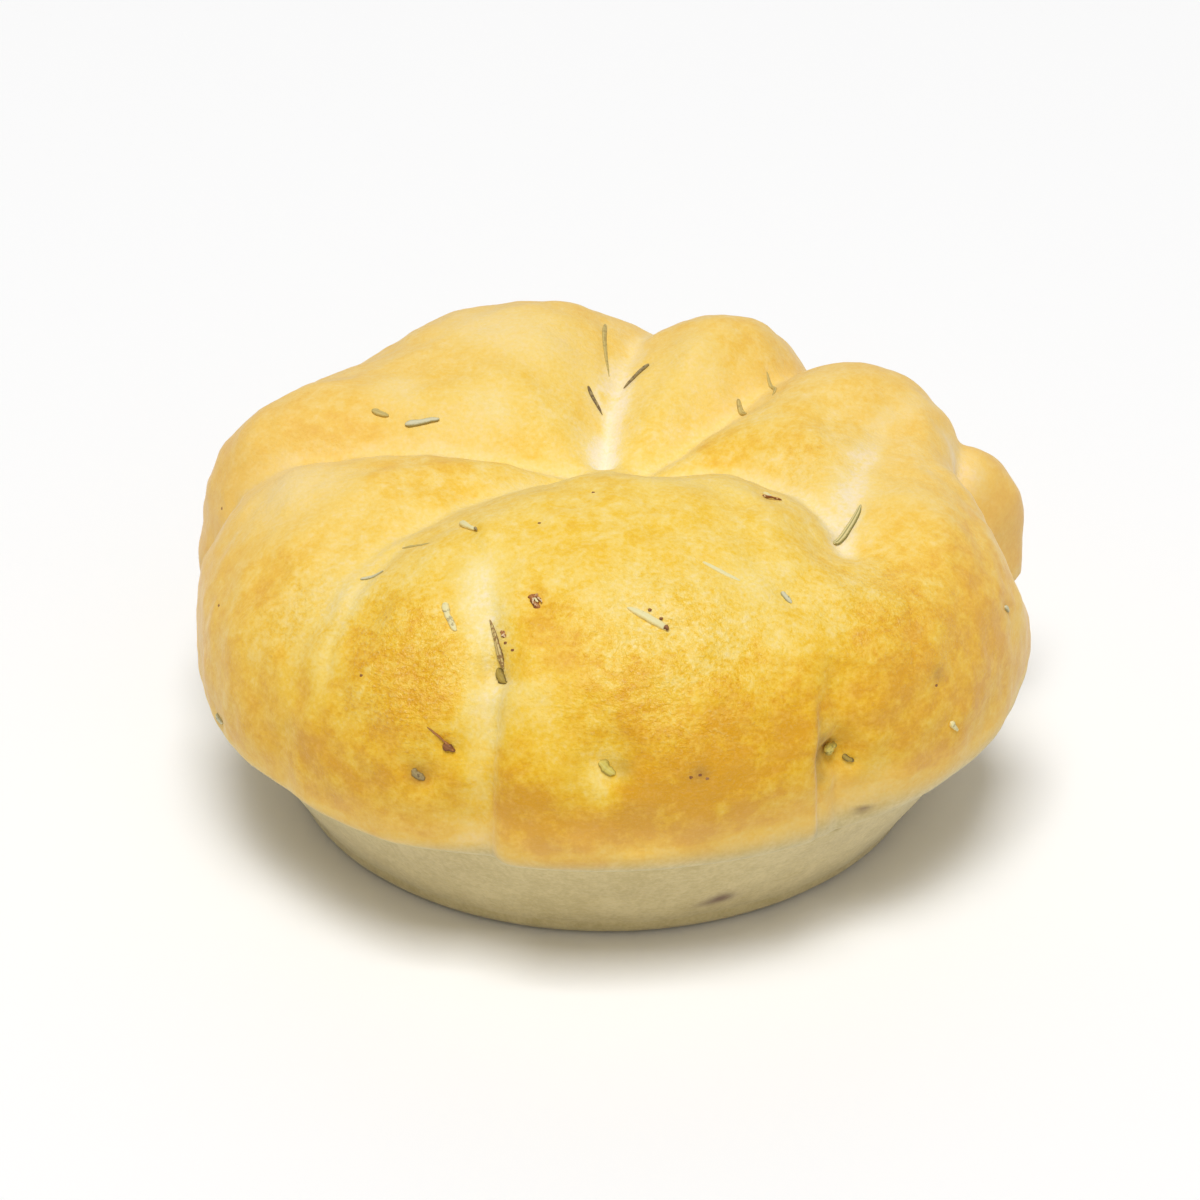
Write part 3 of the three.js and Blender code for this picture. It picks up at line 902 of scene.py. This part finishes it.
@dataclass(frozen=True)
class Rosemary:
    """All the rosemary: needles and bits by place, and more on the far side by a rule."""

    form: BunForm
    needles: tuple[Sprig, ...] = (
        Sprig(Herb.FAINT, 0.53, 162, 90, 2.2, 1.0),
        Sprig(Herb.GREY, 0.61, 161, 117, 5, 1.0, -0.05),
        Sprig(Herb.FAINT, 0.57, 92, 91, 12, 0.8, -0.22, 0.1, 0.6),
        Sprig(Herb.DARK, 0.73, 98, 113, 4, 0.65, -0.1, 0.1, 0.5, 0.07),
        Sprig(Herb.DARK, 0.65, 83, 50, 5, 0.8, -0.1, 0.1, 0.6, -0.05),
        Sprig(Herb.FAINT, 0.63, 46, 148, 3.5, 0.9),
        Sprig(Herb.FAINT, 0.55, 45, 137, 7.5, 0.7, -0.15, 0.1, 0.5, -0.07),
        Sprig(Herb.GREEN, 0.52, 335, -1, 8.4, 1.0, -0.1, 0.06),
        Sprig(Herb.PALE, 0.6, 230, -23, 5, 1.0),
        Sprig(Herb.GREY, 0.44, 220, 54, 3, 0.6, -0.1),
        Sprig(Herb.PALE, 0.405, 241, -44, 4.5, 1.1, -0.25, 0.2),
        Sprig(Herb.BROWN, 0.38, 250, 122, 7, 0.85, -0.1, 0.1, 0.6),
        Sprig(Herb.OLIVE, 0.325, 252, -50, 2.6, 1.15, -0.25, 0.25, 0.2),
        Sprig(Herb.RUST, 0.455, 255, -44, 2.4, 1.2, -0.4, 0.3),
        Sprig(Herb.RUST, 0.195, 246, 144, 4.6, 0.45, -0.05, 0.3, 0.7),
        Sprig(Herb.PALE, 0.425, 275.5, 145, 6, 1.3, -0.35, 0.12, 0.5),
        Sprig(Herb.BRIGHT, 0.165, 268.8, -40, 2.6, 1.4, -0.3, 0.25),
        Sprig(Herb.BRIGHT, 0.105, 301.4, -20, 2.6, 1.6, 0.3, 0.2),
    )
    bits: tuple[Sprig, ...] = (
        Sprig(Herb.PALE, 0.665, 325, -130, 2.2, 1.1),
        Sprig(Herb.RUST, 0.652, 324.4, -41, 2.8, 0.45, 0.0, 0.4),
        Sprig(Herb.DARK, 0.587, 234.8, -29, 0.9, 0.4, 0.1),
        Sprig(Herb.FAINT, 0.53, 221.7, 14, 5, 0.5),
        Sprig(Herb.RUST, 0.393, 250.9, -38, 1.3, 0.6, -0.1, 0.4),
        Sprig(Herb.RUST, 0.454, 254.8, -57, 1.8, 0.4, 0.05, 0.4),
        Sprig(Herb.RUST, 0.46, 255.7, -48, 1.5, 0.4, 0.05, 0.4),
        # A painted glint: a pale sliver on the rust-red bits beside it
        Sprig(Herb.PALE, 0.455, 255.3, -36, 0.9, 0.35, 0.1, 0.3),
        Sprig(Herb.SCORCHED, 0.18, 247.2, -23, 1.8, 1.05, -0.15, 0.2, 0.5),
        Sprig(Herb.DARK, 0.121, 243.4, -38, 2, 1.1, -0.3, 0.2),
        Sprig(Herb.SCORCHED, 0.402, 278.6, -34, 0.7, 0.7, -0.1, 0.3),
        Sprig(Herb.PALE, 0.505, 292.2, -48, 5.6, 0.8, -0.3),
        Sprig(Herb.GREY, 0.424, 302.3, -81, 2.1, 0.9, -0.25),
        Sprig(Herb.OLIVE, 0.07, 303.8, -43, 1.5, 0.8, -0.1, 0.2),
        Sprig(Herb.PALE, 0.069, 320.2, -60, 2.2, 0.8, -0.1, 0.2),
        Sprig(Herb.GREY, 0.186, 339, -52, 1.4, 0.8),
        Sprig(Herb.GREY, 0.01, 205, 0, 2.3, 0.9),
    )
    specks: tuple[Span, ...] = (
        (0.377, 251.8),
        (0.364, 253.4),
        (0.42, 277.9),
        (0.438, 276.1),
        (0.747, 261),
        (0.632, 248.9),
        (0.264, 232.2),
        (0.202, 173.9),
        (0.197, 199),
        (0.141, 279.8),
        (0.143, 281),
        (0.135, 281.9),
        (0.165, 318.5),
    )
    speck_size: Span = (0.5, 0.4)
    far_herbs: tuple[Herb, ...] = (Herb.GREY, Herb.GREEN, Herb.BROWN, Herb.PALE)
    far_count: int = 12
    far_bearings: Span = (38, 145)
    far_levels: Span = (0.05, 0.3)
    far_lengths: Span = (3, 7)
    far_shares: tuple[float, float, float, float] = (0.618, 0.755, 0.382, 0.57)
    flatness: float = 0.75
    groove: float = 0.35
    groove_width: float = 0.28
    bluntness: float = 4.0
    edge_beats: tuple[float, float, float] = (1.0, 2.3, 4.1)
    bed_depth: float = 0.3
    bed_width: float = 1.3
    rings: int = 22
    sides: int = 14
    seed: int = 21

    @property
    def sprigs(self) -> list[Sprig]:
        """All sprigs by place, the specks, and far needles at steps of a low-repeat sequence."""
        specks = [Sprig(Herb.SCORCHED, *at, 0, *self.speck_size) for at in self.specks]
        step = np.outer(np.arange(1, self.far_count + 1), self.far_shares) % 1
        far = [
            Sprig(
                self.far_herbs[i % len(self.far_herbs)],
                lerp(*self.far_levels, level),
                lerp(*self.far_bearings, bearing),
                360 * turn,
                lerp(*self.far_lengths, length),
            )
            for i, (bearing, level, turn, length) in enumerate(step)
        ]
        return [*self.needles, *self.bits, *specks, *far]

    def beds(self, level: Array, angle: Array) -> Array:
        """Work out the troughs that the sprigs pressed into the dough.

        Args:
            level: Levels of the places.
            angle: Angles of the places, in radians.

        Returns:
            The depth of the troughs: bell curves across each sprig that end with its length.
        """
        depth = np.zeros(np.broadcast(level, angle).shape)
        for sprig in self.sprigs:
            across, up = self.form.skin_gap(level, angle, sprig.place)
            heading = np.radians(sprig.turn)
            along = np.abs(across * np.cos(heading) + up * np.sin(heading))
            aside = up * np.cos(heading) - across * np.sin(heading)
            past = np.maximum(along - sprig.length / 2, 0)
            trough = np.exp(-(aside ** 2 + past ** 2) / (self.bed_width * sprig.width) ** 2)
            depth = np.maximum(depth, self.bed_depth * sprig.width * trough)
        return depth

    def _body(self, sprig: Sprig, draws: np.random.Generator) -> tuple[Array, Array]:
        """Shape one sprig: a flat tube that follows the skin, blunt at one end and slimmer at the other.

        Its half width along the share s of the length is (1 - |2s - 1|^b)^(1/2) (1 - tip s^2), with
        slow waves of its own on each edge. Round the tube, the side goes as the cosine and the
        height as the sine, less a groove down the top. It curves aside by bend ((2s - 1)^2 - 1/3).

        Args:
            sprig: The sprig.
            draws: Where the uneven outline comes from.

        Returns:
            The points, from one end ring by ring to the other end, and how far across each lies.
        """
        share = (np.arange(self.rings) + 0.5) / self.rings
        full = np.concatenate([[0.0], share, [1.0]])
        cosine, sine = np.cos(np.radians(sprig.turn)), np.sin(np.radians(sprig.turn))
        along = (full - 0.5) * sprig.length
        aside = sprig.bend * sprig.length * ((2 * full - 1) ** 2 - 1 / 3)
        level = sprig.level + (along * sine + aside * cosine) / self.form.section_length
        middle = self.form.crown(np.array(sprig.level), np.radians(sprig.bearing))
        turned = (along * cosine - aside * sine) / np.hypot(middle[0], middle[1])
        here, normal, east, north = self.form.skin_frame(level, np.radians(sprig.bearing) + turned)
        side = unit(np.cross(normal, east * cosine + north * sine))
        centre = here + normal * sprig.lift
        round_share = np.arange(self.sides) / self.sides * 2 * np.pi
        across = np.cos(round_share)
        phases = draws.uniform(0, 2 * np.pi, size=(2, 1, len(self.edge_beats)))
        beats = np.array(self.edge_beats)
        waves = np.sum(np.sin(2 * np.pi * beats * share[:, None] + phases) / beats, axis=-1)
        edges = 1 + sprig.ragged * waves[..., None]
        taper = np.sqrt(1 - np.abs(2 * share - 1) ** self.bluntness) * (1 - sprig.tip * share ** 2)
        swell = taper[:, None] * lerp(edges[0], edges[1], (1 + across) / 2) * sprig.width / 2
        height = np.sin(round_share)
        dip = self.groove * np.exp(-((across / self.groove_width) ** 2)) * np.maximum(height, 0)
        out = swell * across
        up = swell * (height - dip) * self.flatness
        tube = centre[1:-1, None] + side[1:-1, None] * out[..., None] + normal[1:-1, None] * up[..., None]
        points = np.concatenate([centre[:1], tube.reshape(-1, 3), centre[-1:]])
        marks = np.concatenate([[0.0], np.tile(across, self.rings), [0.0]])
        return points, marks

    def _faces(self) -> Array:
        """Number the triangles of one sprig: two end fans and the tube between them."""
        ring, side = np.meshgrid(np.arange(self.rings), np.arange(self.sides), indexing="ij")
        here = 1 + ring * self.sides + side
        beside = 1 + ring * self.sides + (side + 1) % self.sides
        last = np.full(self.sides, 1 + self.rings * self.sides)
        first = np.zeros(self.sides, dtype=int)
        low, low_beside, high, high_beside = here[:-1], beside[:-1], here[1:], beside[1:]
        return np.concatenate([
            np.stack([first, beside[0], here[0]], -1),
            np.stack([low, low_beside, high], -1).reshape(-1, 3),
            np.stack([high, low_beside, high_beside], -1).reshape(-1, 3),
            np.stack([last, here[-1], beside[-1]], -1),
        ])

    def build(self) -> None:
        """Make one piece for each kind of rosemary and dress it."""
        draws = np.random.default_rng(self.seed)
        faces = self._faces()
        bodies: dict[Herb, list[tuple[Array, Array, Array]]] = {herb: [] for herb in Herb}
        for sprig in self.sprigs:
            points, across = self._body(sprig, draws)
            bodies[sprig.herb].append((points, across, np.full(len(points), draws.normal())))
        for herb, parts in bodies.items():
            count = len(parts[0][0])
            joined = np.concatenate([faces + i * count for i in range(len(parts))])
            points, across, tone = (np.concatenate(values) for values in zip(*parts))
            piece = make_piece(herb.value, points, joined, {"across": across, "tone": tone})
            piece.data.materials.append(HERB_FINISHES[herb].material(herb.value))


# The bun

@dataclass(frozen=True)
class Bun:
    """The bun's skin from the middle of the top down to the flat base, and how it browned, with some
    sheen and shade painted in.
    """

    form: BunForm
    rosemary: Rosemary
    finish: CrustFinish
    rings: int = 126
    sectors: int = 6
    lip_rows: int = 12
    wall_rows: int = 28
    rim_rows: int = 5
    mean_bake: float = 0.44
    crest_bake: float = 0.012
    skirt: Span = (0.08, 0.4)
    # Browner towards the skirt: partly a deeper bake, partly painted shade where the skin turns from the
    # light above
    skirt_bake_and_shade: float = 0.25
    lip_cream: float = 0.9
    lip_cream_level: float = 0.01
    lip_peach: float = 0.8
    lip_peach_level: float = 0.06
    # Where the peach, partly painted sheen, lies: away from the front and low down
    peach_and_sheen_side: Span = (-1.0, 0.1)
    peach_and_sheen_level: Span = (0.15, 1.05)
    floor_width: float = 2.2
    # Where the wall's duller colour reaches up the lip's underside: the turned-in crust, and painted
    # shade under the lip's overhang
    wall_and_shade_edge: Span = (0.4, 1.0)
    stray_across: Noise = Noise(5, ((8, 1.5), (4, 1.5), (2, 1.0)))
    stray_up: Noise = Noise(6, ((8, 1.5), (4, 1.5), (2, 1.0)))
    stray_hold: float = 5.0
    amber_patches: tuple[Spot, ...] = (
        # Front lobe
        Spot(0.49, 254, 3, 0.7),
        Spot(0.39, 260, 4, 2.6),
        Spot(0.30, 267, 5, 0.6),
        Spot(0.28, 273, 6, 0.7),
        Spot(0.17, 280, 8, 1),
        Spot(0.20, 288, 8, 0.9),
        Spot(0.10, 284, 7, 1),
        Spot(0.23, 295, 6, 0.7),
        Spot(0.10, 275, 5, 0.7),
        Spot(0.78, 263, 4, 0.6),
        Spot(0.12, 257, 5, 0.8),
        Spot(0.06, 260, 5, 0.7),
        Spot(0.05, 269, 5, 0.6),
        Spot(0.06, 263, 6, 0.6),
        # Front-left lobe
        Spot(0.33, 228, 5, 0.7),
        Spot(0.37, 234, 5, 0.6),
        Spot(0.34, 243, 5, 0.7),
        Spot(0.27, 236, 6, 0.7),
        Spot(0.26, 242, 4, 0.9),
        Spot(0.20, 243, 5, 0.5),
        Spot(0.11, 225, 7, 0.5),
        Spot(0.09, 233, 6, 0.5),
        Spot(0.08, 242, 6, 0.5),
        # Left lobe
        Spot(0.29, 204, 8, 0.5),
        Spot(0.15, 216, 6, 0.5),
        Spot(0.63, 190, 6, 0.5),
        Spot(0.66, 185, 8, 0.4),
        # Back-left lobe
        Spot(0.45, 171, 6, 0.7),
        # Right lobe and the small lobe beside it
        Spot(0.29, 312, 6, 0.9),
        Spot(0.20, 312, 7, 0.9),
        Spot(0.22, 306, 5, 0.6),
        Spot(0.28, 320, 6, 0.6),
        Spot(0.12, 310, 6, 0.3),
        Spot(0.11, 322, 7, 0.4),
        Spot(0.18, 331, 7, 0.5),
        Spot(0.25, 332, 8, 0.8),
        Spot(0.02, 316, 7, 0.5),
        Spot(0.38, 329, 8, 0.4),
        Spot(0.30, 344, 7, 0.6),
        Spot(0.65, 5, 5, 0.6),
        # Back lobes
        Spot(0.77, 23, 6, 0.5),
        Spot(0.52, 60, 7, 0.5),
    )
    cream_patches: tuple[Spot, ...] = (
        # Front lobe
        Spot(0.13, 267, 4, 1.1),
        Spot(0.15, 269, 3, 0.6),
        Spot(0.47, 297, 5, 0.6),
        Spot(0.47, 269, 6, 0.4),
        Spot(0.26, 281, 3, 0.7),
        Spot(0.31, 259, 6, 0.5),
        Spot(0.08, 284, 1.1, 1.2),
        Spot(0.77, 306, 3, 0.4),
        Spot(0.69, 317, 3, 0.5),
        # Front-left lobe and the crease beside it
        Spot(0.52, 242, 4, 0.6),
        Spot(0.46, 244, 4, 0.5),
        Spot(0.42, 248, 3.5, 0.6),
        Spot(0.29, 252, 2.5, 0.6),
        Spot(0.24, 251, 4, 0.4),
        Spot(0.20, 253, 2, 0.6),
        Spot(0.12, 253, 2.5, 0.4),
        Spot(0.02, 252, 4, 0.6),
        Spot(0.37, 221, 3, 0.6),
        Spot(0.26, 225, 3, 0.6),
        # Back-left lobe
        Spot(0.53, 154, 3.5, 0.7),
        Spot(0.70, 144, 4, 0.7),
        Spot(0.65, 160, 5, 0.4),
        Spot(0.41, 185, 9, 0.9),
        Spot(0.50, 121, 7, 0.9),
        # Right lobe and the small lobe beside it
        Spot(0.05, 309, 4, 0.8),
        Spot(0.25, 322, 2.5, 0.7),
        Spot(0.43, 346, 3, 0.5),
        Spot(0.55, 346, 4, 1.0),
        Spot(0.53, 0, 4, 0.9),
        Spot(0.52, 334, 4, 0.7),
        Spot(0.29, 14.5, 3, 1.6),
        Spot(0.24, 13, 3, 1.2),
        Spot(0.15, 343, 4, 0.8),
        # Middle and back lobes: the broad spots are paler crust and partly painted sheen on the tops
        Spot(0.85, 101, 4, 0.8),
        Spot(0.72, 91, 4, 0.7),
        Spot(0.78, 284, 4, 0.5),
        Spot(0.60, 109, 8, 0.6),
        Spot(0.61, 64, 8, 0.6),
    )
    oily_patches: tuple[Spot, ...] = (
        Spot(0.34, 278, 16, 0.8),
        Spot(0.3, 238, 11, 0.9),
        Spot(0.3, 215, 9, 0.5),
        Spot(0.32, 318, 12, 0.6),
        Spot(0.62, 0, 9, 0.4),
    )
    stains_and_fold_shade: tuple[Spot, ...] = (
        # Painted shade in the front-left fold (the first spot) and down the right-front fold (the last
        # four); the others are dark spots by the rosemary
        Spot(0.27, 251.5, 3, 0.07),
        Spot(0.145, 281, 1.2, 0.35),
        Spot(0.185, 319, 1.0, 0.3),
        Spot(0.165, 271, 1.5, 0.3),
        Spot(0.12, 243.5, 1.3, 0.45),
        Spot(0.18, 299.5, 1.2, 0.25),
        Spot(0.14, 299.4, 1.4, 0.45),
        Spot(0.1, 299.2, 1.5, 0.5),
        Spot(0.06, 299, 1.2, 0.35),
    )
    smudges: tuple[Smudge, ...] = (
        Smudge(287.3, 6.9, 1.7, 1.2, 1.0),
        Smudge(285, 6.0, 1.6, 0.9, 0.5),
        Smudge(272, 11, 9, 2.5, 0.06),
        Smudge(305.9, 20.4, 1.3, 0.5, 0.9),
        Smudge(305, 14, 6, 2, 0.08),
        Smudge(243, 12, 7, 3, 0.06),
    )

    @property
    def columns(self) -> int:
        """Vertices in the lip's ring and in every row below it."""
        return self.rings * self.sectors

    def _crown_grid(self) -> tuple[Array, Array, Array]:
        """Lay out the crown: each ring has one vertex more in every sector than the ring inside it.

        Returns:
            The level and angle of each vertex, from the middle of the top outwards, and triangles.
        """
        counts = np.maximum(self.sectors * np.arange(self.rings + 1), 1)
        starts = np.concatenate([[0], np.cumsum(counts)[:-1]])
        ring = np.repeat(np.arange(self.rings + 1), counts)
        place = np.arange(len(ring)) - starts[ring]
        outer = np.flatnonzero(ring)
        k, j = ring[outer], place[outer]
        sector, step = np.divmod(j, k)
        beside = starts[k] + (j + 1) % counts[k]
        inside = sector * (k - 1) + step
        high = starts[k - 1] + inside % counts[k - 1]
        high_beside = starts[k - 1] + (inside + 1) % counts[k - 1]
        pointing_in = np.stack([outer, beside, high], -1)
        pointing_out = np.stack([high, beside, high_beside], -1)[step < k - 1]
        angle = 2 * np.pi * place / counts[ring]
        return 1 - ring / self.rings, angle, np.concatenate([pointing_in, pointing_out])

    def _side_rows(self) -> Array:
        """Give the rows of points below the lip: its underside, the wall and the base's edge."""
        angle = 2 * np.pi * np.arange(self.columns) / self.columns
        lip = 1 - np.arange(1, self.lip_rows)[:, None] / self.lip_rows
        wall = 1 - np.arange(self.wall_rows)[:, None] / self.wall_rows
        rim = 1 - np.arange(self.rim_rows + 1)[:, None] / self.rim_rows
        return np.concatenate([
            self.form.under_lip(lip, angle),
            self.form.wall(wall, angle),
            self.form.base_rim(rim, angle),
        ])

    def _side_faces(self, lip_start: int, rows: int) -> Array:
        """Number the triangles from the lip's ring down through the rows to the base's middle.

        Args:
            lip_start: The first vertex of the lip's ring, after which the rows follow.
            rows: How many rows there are below the lip.

        Returns:
            The triangles.
        """
        row, column = np.meshgrid(np.arange(rows), np.arange(self.columns), indexing="ij")
        upper = lip_start + row * self.columns + column
        upper_beside = lip_start + row * self.columns + (column + 1) % self.columns
        lower, lower_beside = upper + self.columns, upper_beside + self.columns
        middle = np.full(self.columns, lip_start + (rows + 1) * self.columns)
        return np.concatenate([
            np.stack([upper, lower, lower_beside], -1).reshape(-1, 3),
            np.stack([upper, lower_beside, upper_beside], -1).reshape(-1, 3),
            np.stack([middle, lower_beside[-1], lower[-1]], -1),
        ])

    def _browning_and_painted_light(self, level: Array, angle: Array) -> dict[str, Array]:
        """Work out how the crown browned, with some sheen and shade painted in, and every field's edges
        led astray by noise.

        The bake rises with the swelling of the lobes and towards the skirt, where it also paints in
        shade:
        darker low down, where the skin turns from the light above. Low down, away from the front, the
        crust is more peach, partly its own tone and partly painted sheen, the pale veil of rims seen
        edge-on; just above the lip it is more peach too. Amber, cream and oil come from patches, and
        crease floors and the lip's edge are cream too.

        Args:
            level: Levels of the places.
            angle: Angles of the places, in radians.

        Returns:
            The values that the crust's material reads, by name.
        """
        skin = self.form.crown(level, angle)
        radius = self.form.plain_radius(level, angle)
        level = np.clip(level + self.stray_up(skin) / self.form.section_length, 0, 1)
        angle = angle + self.stray_across(skin) / (radius + self.stray_hold)
        radius = self.form.plain_radius(level, angle)
        x, y = radius * np.cos(angle), radius * np.sin(angle)
        folds = (*self.form.creases, *self.form.fine_folds)
        floor = np.max([fold.paleness(x, y, self.floor_width) for fold in folds], axis=0)
        pale = floor + self.lip_cream * np.exp(-((level / self.lip_cream_level) ** 2))
        bake = self.mean_bake + self.crest_bake * self.form.plan_offset(x, y)
        # A deeper bake towards the skirt, which also paints in shade low down
        bake = bake + self.skirt_bake_and_shade * (1 - smooth_step(*self.skirt, level))
        # Peach away from the front is partly the crust's tone and partly painted sheen on edge-on rims;
        # the lip's peach band is added too
        away = smooth_step(*self.peach_and_sheen_side, np.sin(angle))
        return {
            "bake": bake,
            "peach_and_sheen": np.maximum(
                away * (1 - smooth_step(*self.peach_and_sheen_level, level)),
                self.lip_peach * np.exp(-((level / self.lip_peach_level) ** 2)),
            ),
            "amber": 1 - np.exp(-self.form.spots_at(self.amber_patches, level, angle)),
            "cream": 1 - np.exp(-pale - self.form.spots_at(self.cream_patches, level, angle)),
            "oil": self.form.spots_at(self.oily_patches, level, angle),
        }

    def build(self) -> None:
        """Make the bun's mesh, put its browning and its painted sheen and shade on it and dress it."""
        level, angle, faces = self._crown_grid()
        here, normal, _, _ = self.form.skin_frame(level, angle)
        crown = here - normal * self.rosemary.beds(level, angle)[:, None]
        crown[0] = self.form.uneven(self.form.crown(level[:1], angle[:1]))[0]
        rows = self._side_rows()
        sides = self.form.uneven(rows).reshape(-1, 3)
        middle = self.form.tin_side(np.zeros(1), np.zeros(1), np.zeros(1))
        points = np.concatenate([crown, sides, middle])
        lip_start = len(crown) - self.columns
        faces = np.concatenate([faces, self._side_faces(lip_start, len(rows))])

        under = 1 - np.arange(1, self.lip_rows) / self.lip_rows
        wall = np.ones(len(points))
        wall[:len(crown)] = 0
        # The turned-in underside of the lip, and painted shade under its overhang
        turned_in_and_shade = np.repeat(1 - smooth_step(*self.wall_and_shade_edge, under), self.columns)
        wall[len(crown):len(crown) + len(turned_in_and_shade)] = turned_in_and_shade
        # Smudges on the wall, and on the crown stains and painted shade in the folds
        stain_and_fold_shade = sum(smudge.cover(points) for smudge in self.smudges)
        stain_and_fold_shade[:len(crown)] = self.form.spots_at(self.stains_and_fold_shade, level, angle)
        marks = {"wall": wall, "stain_and_fold_shade": stain_and_fold_shade}
        for name, values in self._browning_and_painted_light(level, angle).items():
            below = np.tile(values[lip_start:], len(rows))
            marks[name] = np.concatenate([values, below, values[:1]])
        piece = make_piece("bun_crust", points, faces, marks)
        piece.data.materials.append(self.finish.material())
        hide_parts(NODE)


# The studio

@dataclass(frozen=True)
class SoftBox:
    """A soft studio light: where it hangs round the bun, how large it is and how strong."""

    bearing: float
    elevation: float
    distance: float
    size: float
    watts: float


@dataclass(frozen=True)
class Studio:
    """A pale floor, soft light and a camera at a table's viewing height, in metres."""

    target: Place = (-0.002, 0.0, 0.0255)
    camera_bearing: float = 270.0
    camera_elevation: float = 31.0
    camera_distance: float = 0.56
    camera_lens: float = 121.6
    sky: float = 0.28
    floor_size: float = 6.0
    floor_colour: Colour = (0.97, 0.97, 0.97)
    floor_roughness: float = 0.9
    lights: tuple[SoftBox, ...] = (
        SoftBox(262, 76, 4.0, 2.0, 120.0),
        SoftBox(300, 40, 3.0, 2.2, 5.0),
        SoftBox(90, 25, 3.0, 2.5, 10.0),
    )

    def _place(self, bearing: float, elevation: float, distance: float) -> Vector:
        """Give a point round the target from its bearing, elevation and distance."""
        side, rise = np.radians(bearing), np.radians(elevation)
        level = distance * np.cos(rise)
        offset = Vector((level * np.cos(side), level * np.sin(side), distance * np.sin(rise)))
        return Vector(self.target) + offset

    def _add(self, name: str, data: Any, place: Vector) -> bpy.types.Object:
        """Add an object at a place, looking at the target."""
        thing = bpy.data.objects.new(name, data)
        thing.location = place
        thing.rotation_euler = (Vector(self.target) - place).to_track_quat("-Z", "Y").to_euler()
        bpy.context.scene.collection.objects.link(thing)
        return thing

    def _camera(self) -> None:
        """Set the camera up at the front."""
        data = bpy.data.cameras.new("camera")
        data.lens = self.camera_lens
        place = self._place(self.camera_bearing, self.camera_elevation, self.camera_distance)
        bpy.context.scene.camera = self._add("camera", data, place)

    def _lights(self) -> None:
        """Hang the soft lights and light the world evenly."""
        for number, box in enumerate(self.lights):
            data = bpy.data.lights.new(f"soft_box_{number}", "AREA")
            data.energy = box.watts
            data.size = box.size
            self._add(data.name, data, self._place(box.bearing, box.elevation, box.distance))
        world = bpy.data.worlds.new("studio")
        world.use_nodes = True
        world.node_tree.nodes["Background"].inputs["Strength"].default_value = self.sky
        world.node_tree.nodes["Background"].inputs["Color"].default_value = (1, 1, 1, 1)
        bpy.context.scene.world = world

    def _floor(self) -> None:
        """Lay the floor just under the bun."""
        half = self.floor_size / 2
        mesh = bpy.data.meshes.new("floor")
        corners = [(-half, -half, 0), (half, -half, 0), (half, half, 0), (-half, half, 0)]
        mesh.from_pydata(corners, [], [(0, 1, 2, 3)])
        floor = bpy.data.objects.new("floor", mesh)
        bpy.context.scene.collection.objects.link(floor)
        finish = {"Base Color": (*self.floor_colour, 1.0), "Roughness": self.floor_roughness}
        floor.data.materials.append(Graph("floor").surface(finish))

    def build(self) -> None:
        """Set up the camera, the lights, the floor and plain colour."""
        self._camera()
        self._lights()
        self._floor()
        bpy.context.scene.view_settings.view_transform = "Standard"


def main() -> None:
    """Build the bun, its rosemary and the studio."""
    logging.basicConfig(level=logging.INFO, format="%(message)s")
    form = BunForm()
    rosemary = Rosemary(form)
    Studio().build()
    Bun(form, rosemary, CrustFinish()).build()
    rosemary.build()


if __name__ == "__main__":
    main()
